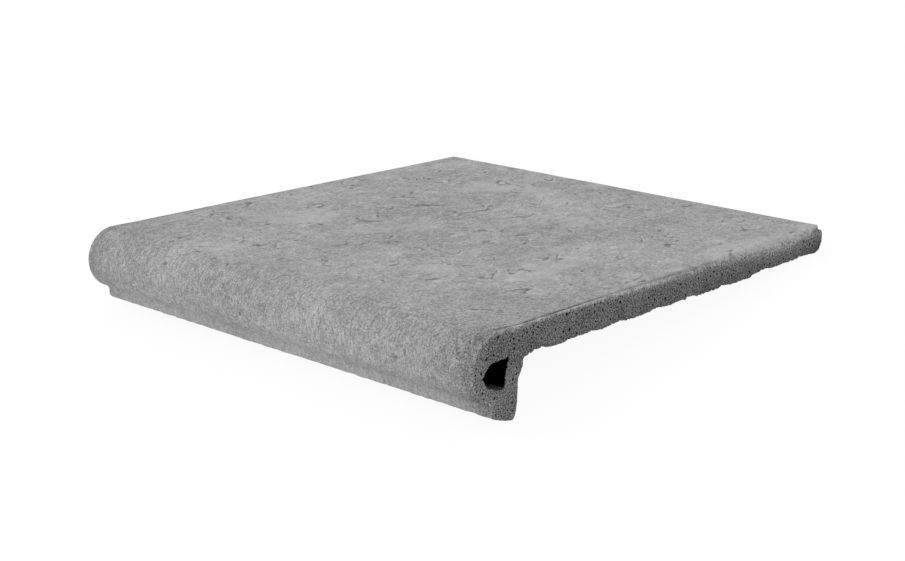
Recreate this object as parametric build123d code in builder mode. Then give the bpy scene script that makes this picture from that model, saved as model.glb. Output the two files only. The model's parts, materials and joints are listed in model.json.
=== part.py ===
from build123d import *
from math import acos, asin, atan2, cos, degrees, hypot, radians, sin, tan
import os

# Extruded stoneware step tile with a hollow half-round nosing, in millimetres.
# The section is drawn level: u runs back from the front of the nose, v up from the tread face.

# Overall
tile_length = 330.0  # along the nose, from cut end to cut end
tile_depth = 349.0  # front of the nose to the back edge
slab_thickness = 18.8  # tread face to the rib crests of the underside
nose_radius = 20.0  # half-round front of the step

# Leg under the nose: a drip lip in front, a tapered toe at the back
leg_height = 52.4  # tread face to the corner of the toe
leg_back = 37.6  # front of the nose to the back of the leg
toe_taper = 2.6  # how far the back of the leg draws in at the toe
toe_taper_height = 9.0
toe_round = 2.0
drip_bulge = 1.0  # crown of the drip face between lip and toe
lip_setback = 15.0  # front of the nose to the front of the lip
lip_drop = 6.2  # lip corner below the lowest point of the nose
lip_round = 3.2
cove_round = 4.5  # hollow corner between nose and lip

# Shoulder that thickens the leg where it joins the slab
shoulder_width = 4.2
shoulder_height = 4.5  # upright part, below the slab
shoulder_slope = 6.9  # height of the sloping part under it
shoulder_round = 1.5

# Through hollow in the nose
nose_wall = 10.2  # in front of the hollow
crown_wall = 16.9  # above the rounded front of the hollow
core_radius = 6.6  # rounded front of the hollow
core_rise = 1.2  # upper back corner of the hollow above the top of its front
core_height = 17.4  # along its flat back
leg_wall_top = 7.6  # hollow to the back of the leg, at the top of the hollow
leg_wall_bottom = 11.1  # the same at its bottom
core_round_top = 1.0
core_round_bottom = 2.0

# Underside: shallow keying grooves along the tile, and a plain heel strip at the back
key_pitch = 35.3
key_mouth = 12.5
key_depth = 1.4
key_side_angle = 30.0  # flank of a groove from the underside
key_margin = 14.2  # shoulder to the middle of the first groove
heel_land = 87.0  # width of the heel strip
heel_rise = 1.5  # heel strip above the rib crests

# Edges
heel_round = 4.0  # lower back edge
back_arris = 1.0  # upper back edge
end_arris = 0.6  # both cut ends, along the tread, the nose and the faces that run on smoothly

# Corners of the section
nose_centre = (nose_radius, -nose_radius)
nose_sweep = 90 + degrees(acos(1 - lip_setback / nose_radius))
lip_corner = (lip_setback, -2 * nose_radius - lip_drop)
toe_corner = (leg_back - toe_taper, -leg_height)
taper_top = (leg_back, toe_taper_height - leg_height)
shoulder_face = leg_back + shoulder_width
shoulder_edge = (shoulder_face, -slab_thickness - shoulder_height)
shoulder_foot = (leg_back, shoulder_edge[1] - shoulder_slope)
shoulder_root = (shoulder_face, -slab_thickness)
heel_foot = (tile_depth - heel_land, -slab_thickness)
heel_top = (heel_foot[0] + heel_rise / tan(radians(key_side_angle)), heel_rise - slab_thickness)
heel_corner = (tile_depth, heel_rise - slab_thickness)
back_corner = (tile_depth, 0)

# The hollow: a rounded front and a flat, slightly raked back
core_centre = (nose_wall + core_radius, -crown_wall - core_radius)
core_back_top = (leg_back - leg_wall_top, core_rise - crown_wall)
core_back_bottom = (leg_back - leg_wall_bottom, core_back_top[1] - core_height)
with BuildSketch() as core:
    with Locations(core_centre):
        Circle(core_radius)
    with BuildLine():
        Line(core_back_top, core_back_bottom)
    make_hull()
    fillet(core.vertices().sort_by_distance(core_back_top)[0], core_round_top)
    fillet(core.vertices().sort_by_distance(core_back_bottom)[0], core_round_bottom)

# The section: outline, rounded corners, keying grooves, hollow
first_key = shoulder_face + key_margin
key_count = int((heel_foot[0] - key_mouth / 2 - first_key) / key_pitch) + 1
with BuildSketch() as section:
    with BuildLine():
        Line(back_corner, (nose_radius, 0))
        nose = CenterArc(nose_centre, nose_radius, 90, nose_sweep)
        Line(nose @ 1, lip_corner)
        SagittaArc(lip_corner, toe_corner, -drip_bulge)
        Polyline(toe_corner, taper_top, shoulder_foot, shoulder_edge, shoulder_root)
        Polyline(shoulder_root, heel_foot, heel_top, heel_corner, back_corner)
    make_face()
    for corner, radius in (
        (nose @ 1, cove_round),
        (lip_corner, lip_round),
        (toe_corner, toe_round),
        (shoulder_edge, shoulder_round),
        (shoulder_root, shoulder_round),
        (heel_corner, heel_round),
        (back_corner, back_arris),
    ):
        fillet(section.vertices().sort_by_distance(corner)[0], radius)
    with Locations(*[(first_key + i * key_pitch, -slab_thickness) for i in range(key_count)]):
        Trapezoid(
            key_mouth,
            key_depth,
            key_side_angle,
            align=(Align.CENTER, Align.MIN),
            mode=Mode.SUBTRACT,
        )
    add(core.sketch, mode=Mode.SUBTRACT)

# Lying unheld, the tile leans back on its toe and its heel: the line under both rounds is the floor
rounds = section.edges().filter_by(GeomType.CIRCLE)
toe = rounds.sort_by_distance(toe_corner)[0]
heel = rounds.sort_by_distance(heel_corner)[0]
span = heel.arc_center - toe.arc_center
rest_lean = degrees(atan2(span.Y, span.X) + asin((toe.radius - heel.radius) / hypot(span.X, span.Y)))

# The tile: the section leaned to its rest, on the floor and centred, drawn out to both cut ends
rest_box = section.sketch.rotate(Axis.Z, -rest_lean).bounding_box()
rest_origin = (0, -rest_box.center().X, -rest_box.min.Y)
rest_plane = Plane(
    origin=rest_origin,
    x_dir=(0, cos(radians(rest_lean)), -sin(radians(rest_lean))),
    z_dir=(1, 0, 0),
)
with BuildPart() as tile:
    with BuildSketch(rest_plane):
        add(section.sketch)
    extrude(amount=tile_length / 2, both=True)
    end_edges = tile.faces().filter_by(Axis.X).edges()
    tread_edges = end_edges.filter_by(GeomType.LINE).sort_by(SortBy.LENGTH)[-2:]
    nose_edges = end_edges.filter_by(GeomType.CIRCLE).sort_by(SortBy.LENGTH)[-2:]
    chamfer(tread_edges + nose_edges, end_arris)

tile.part.label = "nosing_tile"
os.makedirs("parts", exist_ok=True)
export_step(tile.part, "parts/nosing_tile.step")

box = tile.part.bounding_box()
print(f"lean {rest_lean:.4f} deg, origin y {rest_origin[1]:.3f} z {rest_origin[2]:.3f}")
print(f"size {box.size.X:.2f} x {box.size.Y:.2f} x {box.size.Z:.2f}, floor {box.min.Z:.4f}, keys {key_count}")
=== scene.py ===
import json
import math

import bpy
import numpy as np
from mathutils import Matrix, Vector
from mathutils.geometry import delaunay_2d_cdt


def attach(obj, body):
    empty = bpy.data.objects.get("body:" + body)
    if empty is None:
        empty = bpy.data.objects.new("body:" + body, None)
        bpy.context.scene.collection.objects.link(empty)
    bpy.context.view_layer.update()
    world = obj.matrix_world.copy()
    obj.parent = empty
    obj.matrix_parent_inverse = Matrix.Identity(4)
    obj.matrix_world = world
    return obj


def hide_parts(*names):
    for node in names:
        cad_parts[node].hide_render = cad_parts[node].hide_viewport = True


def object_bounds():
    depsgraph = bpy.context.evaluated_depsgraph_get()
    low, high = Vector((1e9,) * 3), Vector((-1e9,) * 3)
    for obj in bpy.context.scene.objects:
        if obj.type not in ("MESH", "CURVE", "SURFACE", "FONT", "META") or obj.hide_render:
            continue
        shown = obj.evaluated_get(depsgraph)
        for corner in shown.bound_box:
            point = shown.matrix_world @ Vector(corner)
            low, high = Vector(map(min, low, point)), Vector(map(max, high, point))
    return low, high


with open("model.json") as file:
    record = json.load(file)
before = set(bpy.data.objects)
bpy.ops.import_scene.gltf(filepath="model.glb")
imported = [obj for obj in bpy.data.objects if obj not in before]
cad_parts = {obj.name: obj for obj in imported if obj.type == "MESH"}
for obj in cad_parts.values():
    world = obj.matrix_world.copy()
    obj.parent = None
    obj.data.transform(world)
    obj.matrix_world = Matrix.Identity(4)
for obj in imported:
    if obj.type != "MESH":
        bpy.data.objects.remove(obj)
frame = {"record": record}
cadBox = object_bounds()
print("frame loaded, size", [round(high - low, 4) for low, high in zip(*cadBox)])

mm = 0.001


def linear(hexColour):
    # sRGB hex to linear light
    srgb = np.array([int(hexColour[i : i + 2], 16) / 255 for i in (1, 3, 5)])
    return (*np.where(srgb <= 0.04045, srgb / 12.92, ((srgb + 0.055) / 1.055) ** 2.4), 1.0)


def smoothStep(low, high, x):
    # 0 below low, 1 above high, and 3tt - 2ttt between
    t = np.clip((x - low) / (high - low), 0, 1)
    return t * t * (3 - 2 * t)


def gradientNoise(x, y, seed):
    # a random slope at each whole-number point, faded between them by 6t^5 - 15t^4 + 10t^3; about -1 to 1
    rng = np.random.default_rng(seed)
    shuffle = rng.permutation(1024)
    angle = rng.uniform(0, 2 * np.pi, 1024)
    x0 = np.floor(x).astype(int)
    y0 = np.floor(y).astype(int)
    fx = x - x0
    fy = y - y0

    def slope(dx, dy):
        a = angle[shuffle[(shuffle[(x0 + dx) % 1024] + y0 + dy) % 1024]]
        return np.cos(a) * (fx - dx) + np.sin(a) * (fy - dy)

    wx = fx**3 * (fx * (fx * 6 - 15) + 10)
    wy = fy**3 * (fy * (fy * 6 - 15) + 10)
    low = slope(0, 0) + wx * (slope(1, 0) - slope(0, 0))
    high = slope(0, 1) + wx * (slope(1, 1) - slope(0, 1))
    return 1.5 * (low + wy * (high - low))


def layeredNoise(x, y, size, octaves, seed, gain=0.5):
    # gradient noise of that size in mm, plus octaves of half the size and gain times the height
    layers = [gain**k * gradientNoise(x * 2**k / size, y * 2**k / size, seed + k) for k in range(octaves)]
    return sum(layers) / sum(gain**k for k in range(octaves))


# Section of the tile, in mm: u runs back from the front of the nose, v up from the tread face
section = {
    "length": 330.0,
    "depth": 349.0,
    "slab": 18.8,
    "noseRadius": 20.0,
    "legHeight": 52.4,
    "legBack": 37.6,
    "toeTaper": 2.6,
    "toeTaperHeight": 9.0,
    "toeRound": 1.4,
    "dripBulge": 1.0,
    "lipSetback": 15.0,
    "lipDrop": 6.2,
    "lipRound": 3.2,
    "coveRound": 4.5,
    "shoulderWidth": 4.2,
    "shoulderHeight": 4.5,
    "shoulderSlope": 6.9,
    "shoulderRound": 1.5,
    "heelLand": 87.0,
    "heelRise": 1.5,
    "heelFlank": 30.0,  # degrees
    "heelRound": 4.0,
    "backArris": 1.0,
    "hollowFront": (16.8, -23.5),  # centre of the round front of the hollow
    "hollowRadius": 6.6,
    "hollowBackTop": (30.0, -15.7),
    "hollowBackBottom": (26.5, -33.1),
    "hollowRoundTop": 1.0,
    "hollowRoundBottom": 2.0,
    # mesh spacing along each stretch of the outline
    "spacing": {"tread": 2.1, "nose": 1.5, "lip": 1.1, "leg": 1.2, "underside": 1.05, "back": 1.2},
    "hollowSpacing": 0.6,
}


def arcPoints(centre, radius, start, end, step=0.25):
    # points of an arc from one angle to another, in degrees
    count = max(4, int(abs(math.radians(end - start)) * radius / step))
    a = np.radians(np.linspace(start, end, count))
    return np.column_stack([centre[0] + radius * np.cos(a), centre[1] + radius * np.sin(a)])


def roundCorner(before, corner, after, radius):
    # arc that rounds a corner: its centre is on the bisector, radius / sin(half angle) from the corner
    before, corner, after = (np.array(p, float) for p in (before, corner, after))
    a = (before - corner) / np.linalg.norm(before - corner)
    b = (after - corner) / np.linalg.norm(after - corner)
    half = math.acos(np.clip(a @ b, -1, 1)) / 2
    centre = corner + (a + b) / np.linalg.norm(a + b) * radius / math.sin(half)
    first = corner + a * radius / math.tan(half) - centre
    last = corner + b * radius / math.tan(half) - centre
    start = math.degrees(math.atan2(first[1], first[0]))
    turn = (math.degrees(math.atan2(last[1], last[0])) - start + 180) % 360 - 180
    return arcPoints(centre, radius, start, start + turn)


def bulgedLine(start, end, bulge):
    # straight line from start to end, pushed out to its right by bulge times 4t(1 - t)
    t = np.linspace(0, 1, 41)[:, None]
    run = np.subtract(end, start)
    outward = np.array([run[1], -run[0]]) / np.linalg.norm(run)
    return np.add(start, t * run) + 4 * bulge * t * (1 - t) * outward


def outerStretches():
    # the outer line from the upper back edge over the tread, the nose and the leg, and back along the underside
    c = section
    r = c["noseRadius"]
    lipCorner = (c["lipSetback"], -2 * r - c["lipDrop"])
    toeCorner = (c["legBack"] - c["toeTaper"], -c["legHeight"])
    taperTop = (c["legBack"], c["toeTaperHeight"] - c["legHeight"])
    drip = bulgedLine(lipCorner, toeCorner, c["dripBulge"])
    face = c["legBack"] + c["shoulderWidth"]
    shoulderEdge = (face, -c["slab"] - c["shoulderHeight"])
    shoulderFoot = (c["legBack"], shoulderEdge[1] - c["shoulderSlope"])
    shoulderRoot = (face, -c["slab"])
    heelFoot = (c["depth"] - c["heelLand"], -c["slab"])
    heelTop = (heelFoot[0] + c["heelRise"] / math.tan(math.radians(c["heelFlank"])), c["heelRise"] - c["slab"])
    heel = (c["depth"], heelTop[1])
    backTop = (c["depth"], 0.0)
    # the cove touches the nose circle from outside and the front of the lip
    coveU = c["lipSetback"] - c["coveRound"]
    coveV = -r - math.sqrt((r + c["coveRound"]) ** 2 - (r - coveU) ** 2)
    coveAngle = math.degrees(math.atan2(coveV + r, coveU - r)) % 360
    backArris = roundCorner(heel, backTop, (r, 0), c["backArris"])
    heelArc = roundCorner(heelTop, heel, backTop, c["heelRound"])
    lipArc = roundCorner((c["lipSetback"], coveV), lipCorner, drip[5], c["lipRound"])
    toeArc = roundCorner(drip[-5], toeCorner, taperTop, c["toeRound"])
    between = (drip[:, 0] > lipArc[-1, 0] + 0.3) & (drip[:, 0] < toeArc[0, 0] - 0.3)
    return {
        "tread": [backArris, [[r, 0]]],
        "nose": [arcPoints((r, -r), r, 90, coveAngle)],
        "lip": [
            arcPoints((coveU, coveV), c["coveRound"], coveAngle - 180, 0),
            lipArc,
            drip[between],
            toeArc,
        ],
        "leg": [
            [taperTop, shoulderFoot],
            roundCorner(shoulderFoot, shoulderEdge, shoulderRoot, c["shoulderRound"]),
            roundCorner(shoulderEdge, shoulderRoot, heelFoot, c["shoulderRound"]),
        ],
        "underside": [[heelFoot, heelTop], heelArc[:1]],
        "back": [heelArc, backArris[:1]],
    }


def hollowLine():
    # the hollow of the nose: two straight sides that touch its round front, and a raked back
    c = section
    u, v = c["hollowFront"]

    def touchAngle(point, side):
        run, rise = point[0] - u, point[1] - v
        return math.degrees(math.atan2(rise, run) + side * math.acos(c["hollowRadius"] / math.hypot(run, rise)))

    start = touchAngle(c["hollowBackTop"], 1)
    end = touchAngle(c["hollowBackBottom"], -1) + 360
    front = arcPoints((u, v), c["hollowRadius"], start, end)
    lower = roundCorner(front[-1], c["hollowBackBottom"], c["hollowBackTop"], c["hollowRoundBottom"])
    upper = roundCorner(c["hollowBackBottom"], c["hollowBackTop"], front[0], c["hollowRoundTop"])
    return np.vstack([front, lower, upper])[::-1]  # turned round, so that its faces look into the hollow


def lineLengths(points):
    # length along a line at each of its points
    return np.concatenate([[0], np.cumsum(np.linalg.norm(np.diff(points, axis=0), axis=1))])


def resample(points, positions):
    lengths = lineLengths(points)
    return np.column_stack([np.interp(positions, lengths, points[:, k]) for k in (0, 1)])


def lineNormals(points):
    # outward normals of a closed line: its tangent turned a quarter to the right. The tangent is taken between
    # the third points on both sides, so that a line moved along its normals doesn't fold at a corner
    tangent = np.roll(points, -3, 0) - np.roll(points, 3, 0)
    tangent /= np.linalg.norm(tangent, axis=1)[:, None]
    return np.column_stack([tangent[:, 1], -tangent[:, 0]])


stretchStart = {}  # length along the outline at the start of each stretch
positions = []
line = []
runLength = 0.0
for name, parts in outerStretches().items():
    points = np.vstack(line[-1:] + parts) if line else np.vstack(parts)
    length = lineLengths(points)[-1]
    count = round(length / section["spacing"][name])
    stretchStart[name] = runLength
    positions.append(runLength + np.arange(count) * length / count)
    runLength += length
    line += [np.vstack(parts), points[-1:]]
profileS = np.concatenate(positions)
profile = resample(np.vstack(line), profileS)
profileNormal = lineNormals(profile)
hollowPoints = hollowLine()
hollowPoints = np.vstack([hollowPoints, hollowPoints[:1]])
hollowLength = lineLengths(hollowPoints)[-1]
hollowCount = round(hollowLength / section["hollowSpacing"])
hollow = resample(hollowPoints, np.arange(hollowCount) * hollowLength / hollowCount)
hollowNormal = lineNormals(hollow)
print("section:", len(profile), "points round", round(runLength, 1), "mm; hollow", len(hollow))

# Relief and edges, in mm
relief = {
    "seed": 41,
    "swellSize": 130.0,  # slow waves of the fired tile
    "swellHeight": 0.15,
    "drawnOut": 0.65,  # riven ledges and smooth plates of the tread, drawn out from front to back
    "warpSize": 60.0,
    "warpShift": 16.0,
    "ledgeSize": 40.0,
    "ledgeSteps": 4.0,
    "ledgeHeight": 0.25,
    "showSize": 20.0,
    "plateSize": 62.0,
    "plateHeight": 0.18,
    "noseGrainSize": 4.5,  # rough grain round the nose
    "noseGrainHeight": 0.12,
    "rawSize": 8.0,  # torn clay of the underside and the leg
    "rawHeight": 0.4,
    "nibbleSize": 7.0,  # nibbled lower edge of the lip
    "nibbleHeight": 0.6,
    "keyFirst": 56.0,  # keying grooves
    "keyPitch": 35.3,
    "keyCount": 6,
    "keyMouth": 12.5,
    "keyFloor": 7.6,
    "keyDepth": 1.4,
    "keyWander": 2.5,
    "arrisFront": 0.5,  # rounding of the right end at the nose, what it grows to, and what is left at the back edge
    "arrisFull": 6.5,
    "arrisBack": 1.6,
    "arrisLeft": 1.0,
    "arrisFade": 15.0,
    # depth to which the skin's colour reaches down the cut end: nose, front, middle, widest, back
    "crustNose": 0.25,
    "crustFront": 1.15,
    "crustMiddle": 3.0,
    "crustFull": 6.3,
    "crustBack": 5.0,
    "scoreAt": (1.7, 5.0),  # scored line beside the right end on the tread and on the nose, its width and depth
    "scoreWidth": (1.0, 1.3),
    "scoreDepth": 0.3,
    "ridgeWidth": (0.5, 1.0),  # pale edge outside it: wear and painted highlight of the arris
    "flakeWidth": 3.6,  # flake broken off the right back corner
    "flakeLength": 13.0,
    "flakeDepth": 2.6,
    "heelChip": 2.4,  # lower right back corner, broken round
    "cornerRound": 1.6,  # upright corners at the back, in plan
    "chipSize": 14.0,  # broken lower edges of the ends, and small nicks in them
    "chipDepth": 1.1,
    "nickSize": 2.7,
    "nickDepth": 1.6,
    "chipReach": 5.0,
    "noseEndDarkReach": 17.0,  # dark bloom that fades in towards the ends of the nose
    "cutWave": 0.3,  # unevenness of the cut faces
}


def rivenTread(x, s):
    # split stone: warped noise cut into levels, with a step up just after each whole level; the step's height
    # comes and goes, so that edges start and end. Plates are the high parts of a second noise. The length from
    # front to back is shortened first, which draws all of it out that way
    c = relief
    s = s * c["drawnOut"]
    warpX = c["warpShift"] * layeredNoise(x, s, c["warpSize"], 2, c["seed"] + 10)
    warpS = c["warpShift"] * layeredNoise(x, s, c["warpSize"], 2, c["seed"] + 20)
    level = c["ledgeSteps"] * layeredNoise(x + warpX, s + warpS, c["ledgeSize"], 4, c["seed"] + 30, 0.5)
    part = level - np.floor(level)
    show = smoothStep(-0.05, 0.45, layeredNoise(x, s, c["showSize"], 2, c["seed"] + 40))
    plate = smoothStep(0.12, 0.36, layeredNoise(x + warpX, s + warpS, c["plateSize"], 4, c["seed"] + 45, 0.45))
    height = c["ledgeHeight"] * show * (smoothStep(0, 0.25, part) - part - 0.4) + c["plateHeight"] * (plate - 1)
    return height, level, show, plate


def keyGrooves(x, u):
    # trapezoid grooves along the tile: full depth inside half the floor's width, none outside half the mouth's;
    # torn clay fills some of each groove
    c = relief
    wander = c["keyWander"] * layeredNoise(x, u, 90.0, 2, c["seed"] + 50)
    place = (u + wander - c["keyFirst"]) / c["keyPitch"]
    nearest = np.clip(np.round(place), 0, c["keyCount"] - 1)
    off = np.abs(place - nearest) * c["keyPitch"]
    clear = smoothStep(-0.5, 0.35, layeredNoise(x, 53.7 * nearest, 80.0, 2, c["seed"] + 55))
    return c["keyDepth"] * clear * (1 - smoothStep(c["keyFloor"] / 2, c["keyMouth"] / 2, off))


def endInset(u, v, side):
    # how far a point of an end face lies inside the full length: rounded corner in plan at the back, and waves
    c = relief
    inside = np.clip(c["cornerRound"] - (section["depth"] - u), 0, c["cornerRound"])
    corner = c["cornerRound"] - np.sqrt(c["cornerRound"] ** 2 - inside**2)
    wave = layeredNoise(u, v, 22.0, 3, c["seed"] + 60 + 10 * (side > 0))
    return corner + c["cutWave"] * (0.5 + 0.5 * wave)


def arrisRadius(u, side):
    # rounding of an end: small at the nose, growing along the tread, and less again at the back edge
    c = relief
    if side < 0:
        return np.full_like(u, c["arrisLeft"])
    grown = (c["arrisFull"] - c["arrisFront"]) * smoothStep(70, 300, u)
    eased = (c["arrisFull"] - c["arrisBack"]) * smoothStep(308, 346, u)
    return c["arrisFront"] + grown - eased


def skinShare(depth, u):
    # 1 on the skin, falling with the depth below it as exp(-(depth / reach)^power). Both grow towards the back, where
    # the skin was dragged down over the cut; the fade into the darker body there is also painted shade turning in over
    # the rounded edge. The reach wanders
    c = relief
    nose = (c["crustFront"] - c["crustNose"]) * (1 - smoothStep(4, 26, u))
    grown = (c["crustMiddle"] - c["crustFront"]) * smoothStep(70, 200, u)
    grown = grown + (c["crustFull"] - c["crustMiddle"]) * smoothStep(215, 300, u)
    eased = (c["crustFull"] - c["crustBack"]) * smoothStep(305, 345, u)
    wander = 1 + 0.2 * layeredNoise(u, np.zeros_like(u), 34.0, 2, c["seed"] + 75)
    reach = (c["crustFront"] - nose + grown - eased) * wander
    power = 1 + 0.5 * smoothStep(70, 140, u)
    return np.exp(-((np.maximum(depth, 0) / reach) ** power))


def quarterRound(radius, e):
    # how far a rounded edge falls away at distance e from the end
    inside = np.clip(radius - e, 0, radius)
    return radius - np.sqrt(radius**2 - inside**2)


def endMarks(e, s, u, side, nose):
    # a scored line beside an end and the pale edge outside it, worn and painted as the highlight of the arris, from 0
    # to 1:
    # a bell across, broken along its length, fainter on the nose and fading out towards the back
    c = relief
    along = layeredNoise(s, np.full_like(s, 3.0 * side), 20.0, 4, c["seed"] + 70, 0.6)
    crumbs = layeredNoise(s, np.full_like(s, 7.0 * side), 9.0, 3, c["seed"] + 72, 0.8)
    centre, width, rub = (
        c[name][0] + nose * (c[name][1] - c[name][0]) for name in ("scoreAt", "scoreWidth", "ridgeWidth")
    )
    toBack = 1.6 - 0.9 * smoothStep(60, 150, u) - 0.7 * smoothStep(185, 265, u)
    score = np.exp(-(((e - centre - 0.6 * along) / width) ** 2)) * toBack * smoothStep(-0.7, 0.0, along)
    ridge = np.exp(-((e / rub) ** 2)) * (1 - smoothStep(190, 280, u)) * smoothStep(-0.35, 0.15, crumbs)
    if side < 0:
        return 0.4 * score, 0.0 * ridge
    return score * (1 - 0.4 * nose), ridge * (1.1 - 0.7 * nose)


def cornerFlake(e, s, u, side):
    # 1 where a flake is broken off the right back corner of the tread, 0 elsewhere: a quarter of an oval with an
    # uneven edge
    c = relief
    reach = np.hypot(e / c["flakeWidth"], (section["depth"] - u) / c["flakeLength"])
    reach = reach + 0.12 * layeredNoise(s, e, 5.0, 2, c["seed"] + 78)
    return (side > 0) * (1 - smoothStep(0.95, 1.05, reach))


# rows along the tile, closer together at both ends
rows = {
    "spacing": 2.6,
    "end": (0.0, 0.35, 0.75, 1.2, 1.7, 2.3, 2.9, 3.3, 3.6, 3.9, 4.8, 6.2),
    "hollowEnd": (0.0, 0.3, 0.6, 1.0, 1.6, 2.5, 4.0, 6.0, 9.0, 13.0),
    "hollowSpacing": 14.0,
}


def rowPlaces(endRows, spacing):
    half = section["length"] / 2
    end = half - np.array(endRows)
    middle = np.linspace(-end[-1], end[-1], round(2 * end[-1] / spacing) + 1)[1:-1]
    return np.concatenate([-end, middle, end[::-1]])


def skinGrid():
    # outer surface as rows along the tile by points round the section, moved along the section's normals
    c = relief
    x = rowPlaces(rows["end"], rows["spacing"])[:, None]
    s = profileS[None, :]
    u, v = profile.T[:, None, :]
    x, s, u, v = np.broadcast_arrays(x, s, u, v)
    noseMark, lipMark, legMark, underMark, backMark = (
        stretchStart[name] for name in ("nose", "lip", "leg", "underside", "back")
    )
    nose = smoothStep(noseMark - 22, noseMark + 8, s) * (1 - smoothStep(lipMark + 12, lipMark + 22, s))
    tread = 1 - smoothStep(noseMark - 20, noseMark + 12, s)
    skin = 1 - smoothStep(lipMark + 10, lipMark + 24, s)
    under = smoothStep(underMark, underMark + 4, s) * (1 - smoothStep(backMark - 3, backMark, s))
    raw = 1 - skin

    riven, level, show, plate = rivenTread(x, s)
    grain = layeredNoise(x, s * 0.7, c["noseGrainSize"], 3, c["seed"] + 80)
    torn = layeredNoise(x, s, c["rawSize"], 3, c["seed"] + 90, 0.6)
    height = tread * riven + nose * c["noseGrainHeight"] * (grain - 0.2) + raw * c["rawHeight"] * (torn - 0.2)
    nibble = layeredNoise(x, 0.3 * s, c["nibbleSize"], 3, c["seed"] + 95, 0.6)
    height = height + c["nibbleHeight"] * np.exp(-(((s - lipMark - 12) / 5) ** 2)) * nibble
    height = height + c["swellHeight"] * (layeredNoise(x, s, c["swellSize"], 2, c["seed"] + 100) - 0.3)
    height = height - under * keyGrooves(x, u)

    tone = np.zeros_like(height)
    paleEdge = np.zeros_like(height)
    fall = np.zeros_like(height)
    side = np.where(x > 0, 1.0, -1.0)
    e = section["length"] / 2 - np.abs(x)
    onSkin = skin * (1 - smoothStep(lipMark - 6, lipMark + 4, s))
    for sign in (1, -1):
        here = side == sign
        score, ridge = endMarks(e, s, u, sign, nose)
        rounded = quarterRound(c["arrisFront"] if sign > 0 else c["arrisLeft"], e)
        height = height - here * skin * ((1 - tread) * rounded + c["scoreDepth"] * score)
        fall = fall + here * quarterRound(arrisRadius(u, sign), e)
        # the scored line is darker; the pale edge outside it is wear and painted highlight of the arris
        tone = tone + here * onSkin * (ridge - score)
        paleEdge = paleEdge + here * onSkin * ridge
        broken = layeredNoise(s, np.full_like(s, 9.0 * sign), c["chipSize"], 2, c["seed"] + 110)
        nicked = layeredNoise(s, np.full_like(s, 5.0 * sign), c["nickSize"], 2, c["seed"] + 115, 0.7)
        chip = c["chipDepth"] * under * smoothStep(-0.3, 0.7, broken)
        chip = chip + c["nickDepth"] * (0.25 + 0.75 * under) * smoothStep(0.0, 0.6, nicked)
        height = height - here * raw * chip * np.exp(-e / c["chipReach"])
    flake = cornerFlake(e, s, u, side)
    fall = fall + c["flakeDepth"] * flake
    height = height - c["heelChip"] * np.exp(-(((s - backMark - 3) / 4) ** 2) - e / 6) * (side > 0)
    # darker towards the ends of the nose and on the front right of the tread, and painted shade in the cove under the
    # nose;
    # paler at the back right, and the front of the lip painted paler for the light the table throws in under the nose
    # painted shade: the cove under the nose is darkened, more towards the right end
    cove = np.exp(-(((s - lipMark + 4) / 6.0) ** 2)) * (0.3 + 0.9 * np.exp(-e / 40) * (side > 0))
    darkeningAndCoveShade = nose * (np.exp(-e / c["noseEndDarkReach"]) * np.where(side > 0, 1.8, 0.5) + cove)
    darkeningAndCoveShade = darkeningAndCoveShade + 0.7 * np.exp(-e / 15) * (side > 0) * tread * (1 - smoothStep(80, 150, u))
    darkeningAndCoveShade = darkeningAndCoveShade * (1 - np.clip(paleEdge, 0, 1))
    tone = tone + 0.38 * np.exp(-e / 30) * (side > 0) * tread * smoothStep(200, 270, u)
    # painted light: the front of the lip paler, for the light the table throws in under the nose's overhang
    tone = tone + 0.4 * np.exp(-(((s - lipMark - 6) / 3.5) ** 2))
    crust = skinShare(fall * tread, u) * skin * (1 - 0.5 * flake)

    inset = np.where(side > 0, endInset(u, v, 1), endInset(u, v, -1))
    xOut = x - side * inset * np.exp(-e / 4.0)
    # the tread sinks at the ends, and what lies below it with it, less and less
    uOut = u + profileNormal[None, :, 0] * height
    vOut = v + profileNormal[None, :, 1] * height - fall * smoothStep(-c["arrisFade"], 0, v) * smoothStep(8, 34, u)
    return {
        "points": np.stack([xOut, uOut, vOut], axis=-1),
        "tone": tone,
        "ledge": level,
        "ledgeShow": show * tread,
        "plate": plate * tread,
        "noseShare": nose,
        "darkeningAndCoveShade": darkeningAndCoveShade,
        "crust": crust,
        "map": np.stack([x, s], axis=-1),
    }


# Ragged mouth of the hollow at the right end, in mm: where, how far into the body, how wide
hollowMouth = {
    "raggedSize": 3.4,
    "raggedHeight": 1.0,
    "reach": 5.0,
    "features": {
        "spike": ((10.2, -23.4), 1.9, 0.8),
        "lifted top": ((17.5, -16.6), 0.7, 3.5),
        "swollen back": ((28.0, -26.0), -0.7, 4.0),
        "worn sill": ((20.0, -31.8), 0.8, 6.0),
    },
    "darkAt": 0.9,  # how far in the back and the top are painted black, as shade deep in the hollow
    "sillFade": 75.0,  # the sill is painted dim at the mouth, as shade, and blackens more slowly
}


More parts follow.
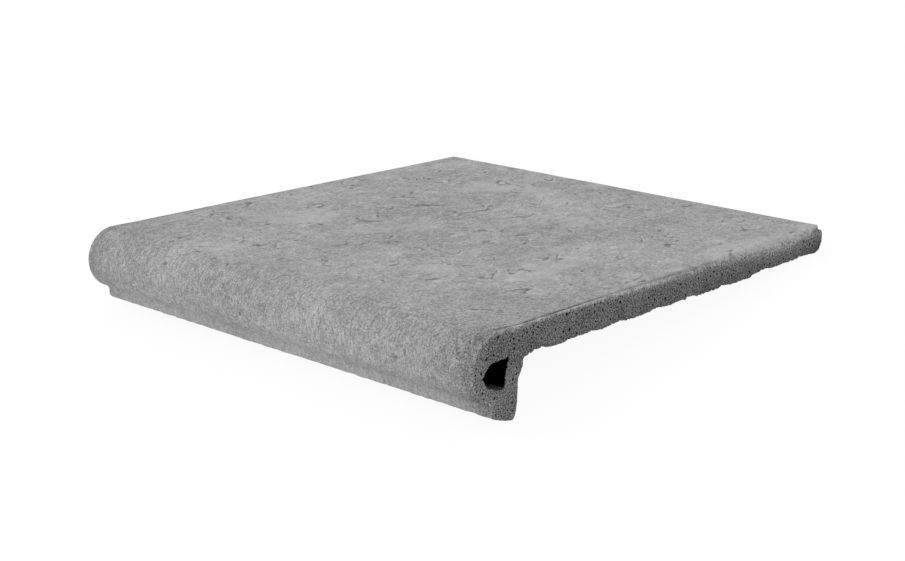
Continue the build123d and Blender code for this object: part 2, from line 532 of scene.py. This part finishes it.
def hollowGrid():
    # wall of the hollow: its line carried along the tile, torn ragged at both ends
    c = hollowMouth
    x = rowPlaces(rows["hollowEnd"], rows["hollowSpacing"])[:, None]
    a = (np.arange(len(hollow)) * section["hollowSpacing"])[None, :]
    x, a = np.broadcast_arrays(x, a)
    e = section["length"] / 2 - np.abs(x)
    side = np.where(x > 0, 1.0, -1.0)
    ragged = c["raggedHeight"] * layeredNoise(a, 40.0 * side, c["raggedSize"], 4, relief["seed"] + 120, 0.75)
    for place, push, width in c["features"].values():
        away = np.linalg.norm(hollow - place, axis=1)[None, :]
        ragged = ragged - push * np.exp(-((away / width) ** 2)) * (side > 0)
    torn = layeredNoise(x, a, 7.0, 3, relief["seed"] + 130)
    height = ragged * np.exp(-e / c["reach"]) + 0.25 * torn * (1 - np.exp(-e / c["reach"]))
    u = hollow[None, :, 0] + hollowNormal[None, :, 0] * height
    v = hollow[None, :, 1] + hollowNormal[None, :, 1] * height
    inset = np.where(side > 0, endInset(u, v, 1), endInset(u, v, -1))
    xOut = x - side * inset * np.exp(-e / 4.0)
    # painted shade: the wall of the hollow blackens with the distance in from each end, the sill from a dim start
    sill = smoothStep(0.5, 0.9, hollowNormal[None, :, 1])
    dark = (1 - sill) * np.clip(e / c["darkAt"], 0, 1) + sill * np.clip(0.4 + e / c["sillFade"], 0, 1)
    return {"points": np.stack([xOut, u, v], axis=-1), "dark": dark}


def gridFaces(rowCount, columnCount, first):
    # quads of a grid that closes on itself across the columns
    i = np.arange(rowCount - 1)[:, None]
    j = np.arange(columnCount)[None, :]
    k = (j + 1) % columnCount
    quads = [i * columnCount + j, i * columnCount + k, (i + 1) * columnCount + k, (i + 1) * columnCount + j]
    return first + np.stack(np.broadcast_arrays(*quads), axis=-1).reshape(-1, 4)


def insideLine(points, line):
    # even-odd rule: a point is inside if a level ray to its right crosses the closed line an odd number of times
    a, b = line, np.roll(line, -1, 0)
    px, py = points[:, :1], points[:, 1:]
    spans = (a[:, 1] > py) != (b[:, 1] > py)
    rise = np.where(b[:, 1] == a[:, 1], 1.0, b[:, 1] - a[:, 1])
    crossing = a[:, 0] + (py - a[:, 1]) * (b[:, 0] - a[:, 0]) / rise
    return (spans & (px < crossing)).sum(1) % 2 == 1


# Cut faces, in mm
cutFace = {
    "spacing": 1.9,
    "rim": 0.6,  # row of points inside the outer line, where the skin ends
    "pores": 600,
    "poreSmall": 0.45,
    "poreLarge": 1.25,
    "poreSides": 6,
    "poreFloor": 0.78,  # share of a pore's width
    "poreRim": 0.08,  # pale rim
    "poreGap": 0.2,
    "crowdSize": 26.0,  # pores crowd in patches
    "margin": 1.1,  # kept clear along the edges
}


def cutFacePoints(outer, inner, seed):
    # pores as a rim and a sunk floor each, a row inside the outer line, and a jittered grid between them
    c = cutFace
    rng = np.random.default_rng(seed)
    low, high = outer.min(0), outer.max(0)
    rims = np.vstack([outer, inner])
    rim = (outer - c["rim"] * lineNormals(outer))[::2]

    def onFace(points, gap):
        good = insideLine(points, outer) & ~insideLine(points, inner)
        away = np.linalg.norm(points[good][:, None] - rims[None], axis=2).min(1)
        good[good] = away > np.broadcast_to(gap, len(points))[good]
        return good

    centres = rng.uniform(low, high, (c["pores"] * 12, 2))
    radius = c["poreSmall"] + (c["poreLarge"] - c["poreSmall"]) * rng.random(len(centres)) ** 2
    crowd = 0.6 + 0.6 * layeredNoise(centres[:, 0], centres[:, 1], c["crowdSize"], 3, seed, 0.8)
    good = onFace(centres, 1.25 * radius + c["rim"] + 0.1) & (crowd > rng.random(len(centres)))
    centres, radius = centres[good], radius[good]
    apart = np.linalg.norm(centres[:, None] - centres[None], axis=2)
    clash = apart < 1.2 * (radius[:, None] + radius[None]) + c["poreGap"]
    keep = ~np.tril(clash, -1).any(1)
    centres, radius = centres[keep][: c["pores"]], radius[keep][: c["pores"]]
    spoke = np.arange(c["poreSides"]) * 2 * np.pi / c["poreSides"]
    turn = rng.uniform(0, 2 * np.pi, len(centres))[:, None] + spoke
    wobble = radius[:, None] * rng.uniform(0.65, 1.2, turn.shape)
    spokes = wobble[..., None] * np.stack([np.cos(turn), np.sin(turn)], axis=-1)
    rings = [(centres[:, None] + share * spokes).reshape(-1, 2) for share in (1.0, c["poreFloor"])]
    gridU, gridV = np.meshgrid(*(np.arange(a, b, c["spacing"]) for a, b in zip(low, high)))
    grid = np.column_stack([gridU.ravel(), gridV.ravel()]) + rng.uniform(-0.5, 0.5, (gridU.size, 2))
    grid = grid[onFace(grid, c["margin"])]
    away = np.linalg.norm(grid[:, None] - centres[None], axis=2) - radius[None]
    grid = np.vstack([grid[(away > 0.6).all(1)], rim[onFace(rim, c["rim"] * 0.6)]])
    points = np.vstack([grid, *rings])
    # 1 on a floor, painted black as the shade in the pore, below 0 on a rim
    sunk = np.repeat(radius, c["poreSides"])
    pore = np.concatenate([np.zeros(len(grid)), np.full(len(sunk), -c["poreRim"]), np.ones(len(sunk))])
    depth = np.concatenate([np.zeros(len(grid) + len(sunk)), 1.2 * sunk])
    return points, pore, depth


def cutFaceMesh(outer, inner, side):
    # triangles between the outer line, the hollow and the pores of one end
    points, pore, depth = cutFacePoints(outer, inner, relief["seed"] + 200 + (side > 0))
    flat = np.vstack([outer, inner, points])
    loops = [np.arange(len(outer)), len(outer) + np.arange(len(inner))]
    edges = np.vstack([np.column_stack([loop, np.roll(loop, -1)]) for loop in loops])
    made = delaunay_2d_cdt([tuple(p) for p in flat], edges.tolist(), [], 0, 1e-5)
    original = np.array([ids[0] for ids in made[3]])
    triangles = original[np.array(made[2])]
    middle = flat[triangles].mean(1)
    triangles = triangles[insideLine(middle, outer) & ~insideLine(middle, inner)]
    if side < 0:
        triangles = triangles[:, ::-1]
    return flat, triangles, pore, depth


def cutFaceDepth(u, v):
    # depth on a cut face below the tread, the nose's round or the front of the lip
    r = section["noseRadius"]
    toNose = r - np.hypot(u - r, v + r)
    return np.where(u > r, -v, np.where(v > -2 * r, toNose, u - section["lipSetback"]))


def bodyShade(u, v):
    # the body is a little paler in the wall of the nose and down the leg, and darker low at the back and at the
    # back corner
    paler = np.maximum(1 - smoothStep(7, 18, u), 1 - smoothStep(-34, -16, v))
    low = smoothStep(40, 280, u) * (1 - smoothStep(-15, -6, v))
    return paler - 0.8 * low - 1.2 * smoothStep(325, 346, u)


def toFrame(points):
    # level section coordinates in mm to the frame in metres: leaned as the CAD bed is, and set into the CAD box
    bed = next(mount for mount in frame["record"]["mounts"] if mount["name"] == "bedding_face")
    sine, cosine = -bed["axis"][1], -bed["axis"][2]
    turn = np.array([[cosine, sine], [-sine, cosine]])
    shift = np.array(cadBox[0])[1:] - (profile @ turn.T).min(0) * mm
    placed = np.concatenate([points[:, :1] * mm, points[:, 1:] @ turn.T * mm + shift], axis=1)
    placed[:, 2] = np.maximum(placed[:, 2], cadBox[0][2])
    return placed


def buildTile():
    skin, tube = skinGrid(), hollowGrid()
    rowCount, columnCount = skin["tone"].shape
    tubeRows, tubeColumns = tube["dark"].shape
    half = section["length"] / 2
    skinTotal, tubeTotal = rowCount * columnCount, tubeRows * tubeColumns
    points = [skin["points"].reshape(-1, 3), tube["points"].reshape(-1, 3)]
    # the pores field also carries the painted shade of the hollow
    pores = [np.zeros(skinTotal), tube["dark"].ravel()]
    crust = [skin["crust"].ravel(), np.zeros(tubeTotal)]
    tone = [skin["tone"].ravel(), np.zeros(tubeTotal)]
    quads = [gridFaces(rowCount, columnCount, 0), gridFaces(tubeRows, tubeColumns, skinTotal)]
    triangles = []
    first = skinTotal + tubeTotal
    for side in (-1, 1):
        outerIds = np.arange(columnCount) + (skinTotal - columnCount if side > 0 else 0)
        innerIds = skinTotal + np.arange(tubeColumns) + (tubeTotal - tubeColumns if side > 0 else 0)
        outer, inner = points[0][outerIds, 1:], points[1][innerIds - skinTotal, 1:]
        flat, faces, pore, depth = cutFaceMesh(outer, inner, side)
        added = flat[len(outer) + len(inner) :]
        x = side * (half - endInset(added[:, 0], added[:, 1], side) - depth)
        points.append(np.column_stack([x, added]))
        pores.append(pore)
        crust.append(skinShare(cutFaceDepth(added[:, 0], added[:, 1]), added[:, 0]))
        # the tone of the nearest point of the edge reaches a little way down the cut
        away = np.linalg.norm(added[:, None] - outer[None], axis=2)
        tone.append(tone[0][outerIds[away.argmin(1)]] * np.exp(-((away.min(1) / 0.9) ** 2)))
        ids = np.concatenate([outerIds, innerIds, first + np.arange(len(added))])
        triangles.append(ids[faces])
        first += len(added)
    level = np.vstack(points)
    points = toFrame(level)
    quads, triangles = np.vstack(quads), np.vstack(triangles)

    loops = np.concatenate([quads.ravel(), triangles.ravel()])
    starts = np.concatenate([np.arange(len(quads)) * 4, len(quads) * 4 + np.arange(len(triangles)) * 3])
    mesh = bpy.data.meshes.new("stair_nosing_tile")
    mesh.vertices.add(len(points))
    mesh.vertices.foreach_set("co", points.astype(np.float32).ravel())
    mesh.loops.add(len(loops))
    mesh.loops.foreach_set("vertex_index", loops.astype(np.int32))
    mesh.polygons.add(len(starts))
    mesh.polygons.foreach_set("loop_start", starts.astype(np.int32))
    mesh.polygons.foreach_set("use_smooth", np.ones(len(starts), bool))
    mesh.update(calc_edges=True)
    mesh.validate()

    # map: length along the tile and round the section, in metres
    skinMap = mesh.uv_layers.new(name="skinMap")
    x = np.unique(skin["map"][..., 0])
    s = np.append(profileS, runLength)
    corners = [(0, 0), (0, 1), (1, 1), (1, 0)]
    i, j = np.meshgrid(np.arange(rowCount - 1), np.arange(columnCount), indexing="ij")
    uv = np.stack([np.stack([x[i + a], s[j + b]], axis=-1) for a, b in corners], axis=2).reshape(-1, 2)
    rest = level[loops[len(uv) :], 1:]
    skinMap.data.foreach_set("uv", (np.vstack([uv, rest]) * mm).astype(np.float32).ravel())

    spare = np.zeros(len(points) - skinTotal)
    names = ("ledge", "ledgeShow", "plate", "noseShare", "darkeningAndCoveShade")
    fields = {name: np.concatenate([skin[name].ravel(), spare]) for name in names}
    fields["tone"] = np.concatenate(tone)
    fields["pores"] = np.concatenate(pores)
    fields["crust"] = np.concatenate(crust)
    fields["bodyShade"] = bodyShade(level[:, 1], level[:, 2])
    for name, values in fields.items():
        mesh.attributes.new(name, "FLOAT", "POINT").data.foreach_set("value", values.astype(np.float32))
    mesh.set_sharp_from_angle(angle=math.radians(42))
    tile = bpy.data.objects.new("stair_nosing_tile", mesh)
    bpy.context.scene.collection.objects.link(tile)
    print("tile:", len(points), "points,", len(quads) * 2 + len(triangles), "triangles")
    return tile


def addNode(tree, kind, inputs=None, out=0, **settings):
    # adds a node, sets its properties and inputs, links the inputs that are sockets, and gives one output
    node = tree.nodes.new(kind)
    for name, value in settings.items():
        setattr(node, name, value)
    for key, value in (inputs or {}).items():
        if isinstance(value, bpy.types.NodeSocket):
            tree.links.new(value, node.inputs[key])
        else:
            node.inputs[key].default_value = value
    return node.outputs[out] if node.outputs else None


def newMaterial(name):
    material = bpy.data.materials.new(name)
    material.use_nodes = True
    material.node_tree.nodes.clear()
    return material, material.node_tree


# Skin of the fired clay, struck by the die and rubbed: matt dusty grey, soft clouds, smooth pale plates, thin dark
# strokes with a pale lip at the riven ledges (painted shade and dirt, painted highlight), nicks and flecks (painted
# shade and highlights of small pits), and an open sandy grain round the nose
stoneSkin = {
    "dark": "#787878",
    "middle": "#9e9e9e",
    "pale": "#c0c0c0",
    "mark": "#484848",
    # rub: the pale of the worn edge and its painted highlight, of the back right, and of the painted light on the lip
    # front
    "rub": "#cacaca",
    # size in mm, detail, weight on the tread
    "patterns": {
        "cloud": (55.0, 3.0, 0.55),
        "mottle": (7.0, 3.0, 0.55),
        "grain": (2.2, 2.0, 0.72),
        "sand": (0.9, 1.0, 1.15),
    },
    "drawnOut": 0.65,  # the patterns are longer from front to back
    "frayed": 4.0,  # mm, noise that frays every mark
    "strokeWidth": 1.2,  # mm, strokes drawn round the nose
    "strokeStretch": 0.2,
    # cell in mm, least and greatest chance of a mark, largest radius as a share of the cell, strength
    "nicks": (8.0, 0.55, 1.0, 0.26, 0.62),
    "flecks": (9.0, 0.6, 1.0, 0.17, 0.4),
    "bump": 0.16,  # mm
}


def skinColour(tree, place, field, fray):
    c = stoneSkin
    place = addNode(tree, "ShaderNodeMapping", {"Vector": place, "Scale": (1.0, c["drawnOut"], 1.0)})
    pattern = {}
    for name, (size, detail, weight) in c["patterns"].items():
        settings = {"Vector": place, "Scale": 1 / (size * mm), "Detail": detail}
        noise = addNode(tree, "ShaderNodeTexNoise", settings)
        pattern[name] = addNode(tree, "ShaderNodeMath", {0: noise, 1: 0.5}, operation="SUBTRACT")
    skinMap = addNode(tree, "ShaderNodeUVMap", uv_map="skinMap")
    drawn = addNode(tree, "ShaderNodeMapping", {"Vector": skinMap, "Scale": (1.0, c["strokeStretch"], 1.0)})
    stroke = addNode(
        tree, "ShaderNodeTexNoise", {"Vector": drawn, "Scale": 1 / (c["strokeWidth"] * mm), "Detail": 2.0}
    )
    pattern["stroke"] = addNode(tree, "ShaderNodeMath", {0: stroke, 1: 0.5}, operation="SUBTRACT")

    # plates with frayed edges; the grain is weak on them, and on the nose strokes take the place of the broad patterns
    ragged = addNode(tree, "ShaderNodeMath", {0: fray, 1: 0.9, 2: field["plate"]}, operation="MULTIPLY_ADD")
    plate = addNode(
        tree,
        "ShaderNodeMapRange",
        {"Value": ragged, "From Min": 0.1, "From Max": 0.9},
        interpolation_type="SMOOTHSTEP",
    )
    rough = addNode(tree, "ShaderNodeMath", {0: plate, 1: -0.45, 2: 1.0}, operation="MULTIPLY_ADD")
    sandy = addNode(tree, "ShaderNodeMath", {0: field["noseShare"], 1: 0.1, 2: rough}, operation="MULTIPLY_ADD")
    broad = addNode(tree, "ShaderNodeMath", {0: field["noseShare"], 1: -0.2, 2: 1.0}, operation="MULTIPLY_ADD")
    coarse = addNode(tree, "ShaderNodeMath", {0: rough, 1: broad}, operation="MULTIPLY")
    drawnShare = addNode(tree, "ShaderNodeMath", {0: field["noseShare"], 1: 0.8}, operation="MULTIPLY")
    shares = {"cloud": broad, "mottle": broad, "grain": coarse, "sand": sandy}
    shade = addNode(tree, "ShaderNodeMath", {0: plate, 1: 0.13, 2: 0.46}, operation="MULTIPLY_ADD")
    for name, share in shares.items():
        weight = addNode(tree, "ShaderNodeMath", {0: share, 1: c["patterns"][name][2]}, operation="MULTIPLY")
        shade = addNode(tree, "ShaderNodeMath", {0: pattern[name], 1: weight, 2: shade}, operation="MULTIPLY_ADD")
    shade = addNode(
        tree, "ShaderNodeMath", {0: pattern["stroke"], 1: drawnShare, 2: shade}, operation="MULTIPLY_ADD"
    )
    ramp = addNode(tree, "ShaderNodeValToRGB", {"Fac": shade})
    stops = ramp.node.color_ramp.elements
    stops[0].position, stops[1].position = 0.12, 0.88
    stops[0].color, stops[1].color = linear(c["dark"]), linear(c["pale"])
    stops.new(0.5).color = linear(c["middle"])

    # strokes: dark at the foot of each step, where the ledge level passes a whole number, painted shade and dirt; pale
    # a little above it on the step's lip, painted highlight; both only where ledges show
    frayedShow = addNode(tree, "ShaderNodeMath", {0: fray, 1: 0.8, 2: field["ledgeShow"]}, operation="MULTIPLY_ADD")
    gate = addNode(
        tree,
        "ShaderNodeMapRange",
        {"Value": frayedShow, "From Min": 0.35, "From Max": 0.65},
        interpolation_type="SMOOTHSTEP",
    )
    strokes = {}
    for name, shift, width, strength in (("dark", 0.0, 0.13, 0.62), ("pale", -0.22, 0.12, 0.4)):
        shifted = addNode(tree, "ShaderNodeMath", {0: field["ledge"], 1: shift}, operation="ADD")
        off = addNode(tree, "ShaderNodeMath", {0: shifted, 1: 0.5}, operation="PINGPONG")
        bent = addNode(tree, "ShaderNodeMath", {0: fray, 1: 0.5, 2: off}, operation="MULTIPLY_ADD")
        near = addNode(
            tree,
            "ShaderNodeMapRange",
            {"Value": bent, "From Min": 0.0, "From Max": width, "To Min": strength, "To Max": 0.0},
            interpolation_type="SMOOTHSTEP",
        )
        strokes[name] = addNode(tree, "ShaderNodeMath", {0: near, 1: gate}, operation="MULTIPLY")

    # nicks and flecks: the cores of some cells, bent out of round by the fraying noise; nicks dark as painted shade of
    # small pits, flecks pale as painted highlights
    bend = addNode(tree, "ShaderNodeVectorMath", {0: fray, 1: (0.009, -0.007, 0.005)}, operation="MULTIPLY")
    moved = addNode(tree, "ShaderNodeVectorMath", {0: place, 1: bend}, operation="ADD")
    spots = {}
    for name in ("nicks", "flecks"):
        size, chanceLow, chanceHigh, radius, strength = c[name]
        cell = addNode(tree, "ShaderNodeTexVoronoi", {"Vector": moved, "Scale": 1 / (size * mm)})
        chance = addNode(tree, "ShaderNodeSeparateColor", {"Color": cell.node.outputs["Color"]})
        limits = {"Value": chance, "From Min": chanceLow, "From Max": chanceHigh, "To Min": 0.0, "To Max": radius}
        reach = addNode(tree, "ShaderNodeMapRange", limits)
        inside = addNode(tree, "ShaderNodeMath", {0: reach, 1: cell}, operation="SUBTRACT")
        spots[name] = addNode(
            tree,
            "ShaderNodeMapRange",
            {"Value": inside, "From Min": 0.0, "From Max": 0.08, "To Min": 0.0, "To Max": strength},
            interpolation_type="SMOOTHSTEP",
        )

    # tone below 0 darkens the scored line; above 0 it pales the worn edge and its painted highlight, the back right,
    # and the front of the lip with painted light; both break up in the grain. The darkening at the nose ends and front
    # right, and the painted shade of the cove, gather in the pits of the grain
    crumb = addNode(
        tree,
        "ShaderNodeMapRange",
        {"Value": pattern["grain"], "From Min": -0.14, "From Max": 0.14, "To Min": 0.6, "To Max": 1.3},
    )
    tone = addNode(tree, "ShaderNodeMath", {0: field["tone"], 1: crumb}, operation="MULTIPLY")
    recess = addNode(tree, "ShaderNodeMath", {0: tone, 1: -0.75}, operation="MULTIPLY", use_clamp=True)
    paleAndPaintedLight = addNode(tree, "ShaderNodeMath", {0: tone, 1: 0.8}, operation="MULTIPLY", use_clamp=True)
    pit = addNode(
        tree,
        "ShaderNodeMapRange",
        {"Value": pattern["sand"], "From Min": 0.02, "From Max": -0.16, "To Min": 0.25, "To Max": 0.65},
    )
    grainDarkAndShade = addNode(tree, "ShaderNodeMath", {0: pit, 1: field["darkeningAndCoveShade"]}, operation="MULTIPLY")
    dark = strokes["dark"]
    for other in (spots["nicks"], recess, grainDarkAndShade):
        dark = addNode(tree, "ShaderNodeMath", {0: dark, 1: other}, operation="MAXIMUM")
    bright = strokes["pale"]
    for other in (spots["flecks"], paleAndPaintedLight):
        bright = addNode(tree, "ShaderNodeMath", {0: bright, 1: other}, operation="MAXIMUM")
    colour = addNode(tree, "ShaderNodeMix", {0: bright, 6: ramp, 7: linear(c["rub"])}, out=2, data_type="RGBA")
    colour = addNode(tree, "ShaderNodeMix", {0: dark, 6: colour, 7: linear(c["mark"])}, out=2, data_type="RGBA")

    height = addNode(tree, "ShaderNodeMath", {0: pattern["grain"], 1: shade}, operation="ADD")
    height = addNode(tree, "ShaderNodeMath", {0: height, 1: dark}, operation="SUBTRACT")
    height = addNode(tree, "ShaderNodeMath", {0: height, 1: c["bump"] * mm}, operation="MULTIPLY")
    return colour, height


# Body of the fired clay, wire-cut and torn: coarse and dark, partly its own colour and partly painted shade of the cut
# ends; sharp black pores, their black painted shade; pale grains of grog
cutBody = {
    "dark": "#222222",
    "middle": "#4f4f4f",
    "pale": "#868686",
    "pore": "#020202",
    "grog": "#b8b8b8",
    "paler": 0.12,  # how far the nose wall and the leg move up the colours
    # size in mm, detail, weight
    "patterns": {
        "patch": (14.0, 2.0, 0.3),
        "mottle": (4.0, 2.0, 0.22),
        "grain": (0.85, 1.0, 2.3),
    },
    # cell in mm, least chance, radius as a share of the cell
    "grains": (2.4, 0.55, 0.26),
    "pores": ((2.6, 0.5, 0.27), (4.5, 0.5, 0.2)),
    "bump": 0.2,  # mm
}


def bodyColour(tree, place, field):
    c = cutBody
    shade = addNode(tree, "ShaderNodeMath", {0: field["bodyShade"], 1: c["paler"], 2: 0.47}, operation="MULTIPLY_ADD")
    for size, detail, weight in c["patterns"].values():
        noise = addNode(tree, "ShaderNodeTexNoise", {"Vector": place, "Scale": 1 / (size * mm), "Detail": detail})
        centred = addNode(tree, "ShaderNodeMath", {0: noise, 1: 0.5}, operation="SUBTRACT")
        shade = addNode(tree, "ShaderNodeMath", {0: centred, 1: weight, 2: shade}, operation="MULTIPLY_ADD")
    ramp = addNode(tree, "ShaderNodeValToRGB", {"Fac": shade})
    stops = ramp.node.color_ramp.elements
    stops[0].position, stops[1].position = 0.2, 0.8
    stops[0].color, stops[1].color = linear(c["dark"]), linear(c["pale"])
    stops.new(0.5).color = linear(c["middle"])

    # small pores, painted black as shade in the holes, and grains: the cores of some cells
    cores = []
    for size, chanceLow, radius in (*c["pores"], c["grains"]):
        cell = addNode(tree, "ShaderNodeTexVoronoi", {"Vector": place, "Scale": 1 / (size * mm)})
        chance = addNode(tree, "ShaderNodeSeparateColor", {"Color": cell.node.outputs["Color"]})
        limits = {"Value": chance, "From Min": chanceLow, "From Max": 1.0, "To Min": 0.0, "To Max": radius}
        reach = addNode(tree, "ShaderNodeMapRange", limits)
        inside = addNode(tree, "ShaderNodeMath", {0: reach, 1: cell}, operation="SUBTRACT")
        cores.append(addNode(tree, "ShaderNodeMapRange", {"Value": inside, "From Min": 0.0, "From Max": 0.06}))
    pits = addNode(tree, "ShaderNodeMath", {0: cores[0], 1: cores[1]}, operation="MAXIMUM")
    grains = addNode(tree, "ShaderNodeMath", {0: cores[2], 1: 0.7}, operation="MULTIPLY")
    rims = addNode(tree, "ShaderNodeMath", {0: field["pores"], 1: -1.4}, operation="MULTIPLY", use_clamp=True)
    pale = addNode(tree, "ShaderNodeMath", {0: grains, 1: rims}, operation="MAXIMUM")
    colour = addNode(tree, "ShaderNodeMix", {0: pale, 6: ramp, 7: linear(c["grog"])}, out=2, data_type="RGBA")
    height = addNode(tree, "ShaderNodeMath", {0: shade, 1: pits}, operation="SUBTRACT")
    height = addNode(tree, "ShaderNodeMath", {0: height, 1: c["bump"] * mm}, operation="MULTIPLY")
    return colour, height, pits


# Unglazed stoneware: skin outside, body where it was cut; the skin ends raggedly a little way down the cut
def stonewareMaterial():
    material, tree = newMaterial("fired stoneware")
    place = addNode(tree, "ShaderNodeTexCoord", out="Object")
    field = {
        name: addNode(tree, "ShaderNodeAttribute", out="Fac", attribute_name=name)
        for name in (
            *("tone", "ledge", "ledgeShow", "plate", "noseShare"),
            *("darkeningAndCoveShade", "pores", "crust", "bodyShade"),
        )
    }
    noise = addNode(
        tree, "ShaderNodeTexNoise", {"Vector": place, "Scale": 1 / (stoneSkin["frayed"] * mm), "Detail": 3.0}
    )
    fray = addNode(tree, "ShaderNodeMath", {0: noise, 1: 0.5}, operation="SUBTRACT")
    skin, skinHeight = skinColour(tree, place, field, fray)
    body, bodyHeight, pits = bodyColour(tree, place, field)
    # crumbs of skin: noise added to the crust by 9c(1 - c), so that only its fading part breaks up
    crumb = addNode(tree, "ShaderNodeTexNoise", {"Vector": place, "Scale": 1 / (1.5 * mm), "Detail": 2.0})
    crumb = addNode(tree, "ShaderNodeMath", {0: crumb, 1: 0.5}, operation="SUBTRACT")
    left = addNode(tree, "ShaderNodeMath", {0: 1.0, 1: field["crust"]}, operation="SUBTRACT")
    weight = addNode(tree, "ShaderNodeMath", {0: left, 1: field["crust"]}, operation="MULTIPLY")
    weight = addNode(tree, "ShaderNodeMath", {0: weight, 1: 9.0}, operation="MULTIPLY")
    share = addNode(
        tree,
        "ShaderNodeMath",
        {0: crumb, 1: weight, 2: field["crust"]},
        operation="MULTIPLY_ADD",
        use_clamp=True,
    )
    colour = addNode(tree, "ShaderNodeMix", {0: share, 6: body, 7: skin}, out=2, data_type="RGBA")
    height = addNode(tree, "ShaderNodeMix", {0: share, 2: bodyHeight, 3: skinHeight}, data_type="FLOAT")
    normal = addNode(tree, "ShaderNodeBump", {"Height": height, "Strength": 1.0, "Distance": 1.0})
    # painted shade, black without gloss: the modelled pores and the hollow, and the small pores wherever the skin
    # isn't whole
    bare = addNode(tree, "ShaderNodeMath", {0: left, 1: 3.0}, operation="MULTIPLY", use_clamp=True)
    small = addNode(tree, "ShaderNodeMath", {0: pits, 1: bare}, operation="MULTIPLY")
    sunk = addNode(tree, "ShaderNodeMapRange", {"Value": field["pores"], "From Min": 0.3, "From Max": 0.6})
    black = addNode(tree, "ShaderNodeMath", {0: sunk, 1: small}, operation="MAXIMUM")
    pore = linear(cutBody["pore"])
    colour = addNode(tree, "ShaderNodeMix", {0: black, 6: colour, 7: pore}, out=2, data_type="RGBA")
    gloss = addNode(tree, "ShaderNodeMath", {0: black, 1: -0.5, 2: 0.5}, operation="MULTIPLY_ADD")
    shader = addNode(
        tree,
        "ShaderNodeBsdfPrincipled",
        {"Base Color": colour, "Roughness": 0.88, "IOR": 1.5, "Specular IOR Level": gloss, "Normal": normal},
    )
    addNode(tree, "ShaderNodeOutputMaterial", {"Surface": shader})
    return material


tile = buildTile()
tile.data.materials.append(stonewareMaterial())
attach(tile, "root")
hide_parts("nosing_tile")
print("tile finished")

# Studio: white table that glows a little, even sky and one large soft lamp to the left of the camera
studio = {
    "floor": "#f4f4f4",
    "floorSize": 12.0,  # m
    "tableGlow": 0.21,  # light that the table gives of itself
    "floorGlow": 0.92,  # share of plain white in what the camera sees of the floor
    "sky": 0.83,
    "lampPlace": (-1.4, -1.3, 2.2),  # m
    "lampSize": 1.0,
    "lampPower": 13.0,
}


def directlySeen(tree):
    # 1 for rays from the camera or by way of a gloss or a glass, 0 for the light that falls on surfaces
    path = addNode(tree, "ShaderNodeLightPath", out="Is Camera Ray").node.outputs
    seen = addNode(
        tree, "ShaderNodeMath", {0: path["Is Camera Ray"], 1: path["Is Glossy Ray"]}, operation="MAXIMUM"
    )
    return addNode(tree, "ShaderNodeMath", {0: seen, 1: path["Is Transmission Ray"]}, operation="MAXIMUM")


def whiteFloor():
    c = studio
    half = c["floorSize"] / 2
    corners = [(-half, -half, 0), (half, -half, 0), (half, half, 0), (-half, half, 0)]
    mesh = bpy.data.meshes.new("floor")
    mesh.from_pydata(corners, [], [(0, 1, 2, 3)])
    material, tree = newMaterial("matt white table")
    paper = addNode(tree, "ShaderNodeBsdfDiffuse", {"Color": linear(c["floor"])})
    table = addNode(tree, "ShaderNodeEmission", {"Strength": c["tableGlow"]})
    lit = addNode(tree, "ShaderNodeAddShader", {0: paper, 1: table})
    white = addNode(tree, "ShaderNodeEmission", {"Strength": 1.0})
    share = addNode(tree, "ShaderNodeMath", {0: directlySeen(tree), 1: c["floorGlow"]}, operation="MULTIPLY")
    surface = addNode(tree, "ShaderNodeMixShader", {0: share, 1: lit, 2: white})
    addNode(tree, "ShaderNodeOutputMaterial", {"Surface": surface})
    mesh.materials.append(material)
    floor = bpy.data.objects.new("floor", mesh)
    bpy.context.scene.collection.objects.link(floor)


def evenSky():
    world = bpy.data.worlds.new("even sky")
    world.use_nodes = True
    tree = world.node_tree
    tree.nodes.clear()
    light = addNode(tree, "ShaderNodeBackground", {"Color": linear("#ffffff"), "Strength": studio["sky"]})
    white = addNode(tree, "ShaderNodeBackground", {"Color": linear("#ffffff"), "Strength": 1.0})
    surface = addNode(tree, "ShaderNodeMixShader", {0: directlySeen(tree), 1: light, 2: white})
    addNode(tree, "ShaderNodeOutputWorld", {"Surface": surface})
    bpy.context.scene.world = world


def softLamp():
    c = studio
    light = bpy.data.lights.new("soft lamp", "AREA")
    light.shape = "DISK"
    light.size = c["lampSize"]
    light.energy = c["lampPower"]
    lamp = bpy.data.objects.new("soft lamp", light)
    x, y, z = c["lampPlace"]
    lamp.location = (x, y, z)
    lamp.rotation_euler = (math.atan2(math.hypot(x, y), z), 0, math.atan2(x, -y))
    bpy.context.scene.collection.objects.link(lamp)


# Camera, at the photograph's place: mm and degrees in the frame
view = {
    "lens": 64.97,
    "place": (688.8, -732.77, 371.8),
    "azimuth": 43.632,
    "elevation": 20.26,
    "roll": -3.929,
}


def viewCamera():
    c = view
    data = bpy.data.cameras.new("camera")
    data.lens = c["lens"]
    data.sensor_width = 36.0
    data.clip_start, data.clip_end = 0.01, 100.0
    camera = bpy.data.objects.new("camera", data)
    camera.matrix_world = (
        Matrix.Translation([value * mm for value in c["place"]])
        @ Matrix.Rotation(math.radians(c["azimuth"]), 4, "Z")
        @ Matrix.Rotation(math.radians(90 - c["elevation"]), 4, "X")
        @ Matrix.Rotation(math.radians(c["roll"]), 4, "Z")
    )
    bpy.context.scene.collection.objects.link(camera)
    bpy.context.scene.camera = camera


whiteFloor()
evenSky()
softLamp()
viewCamera()
bpy.context.scene.view_settings.view_transform = "Standard"
print("studio set")
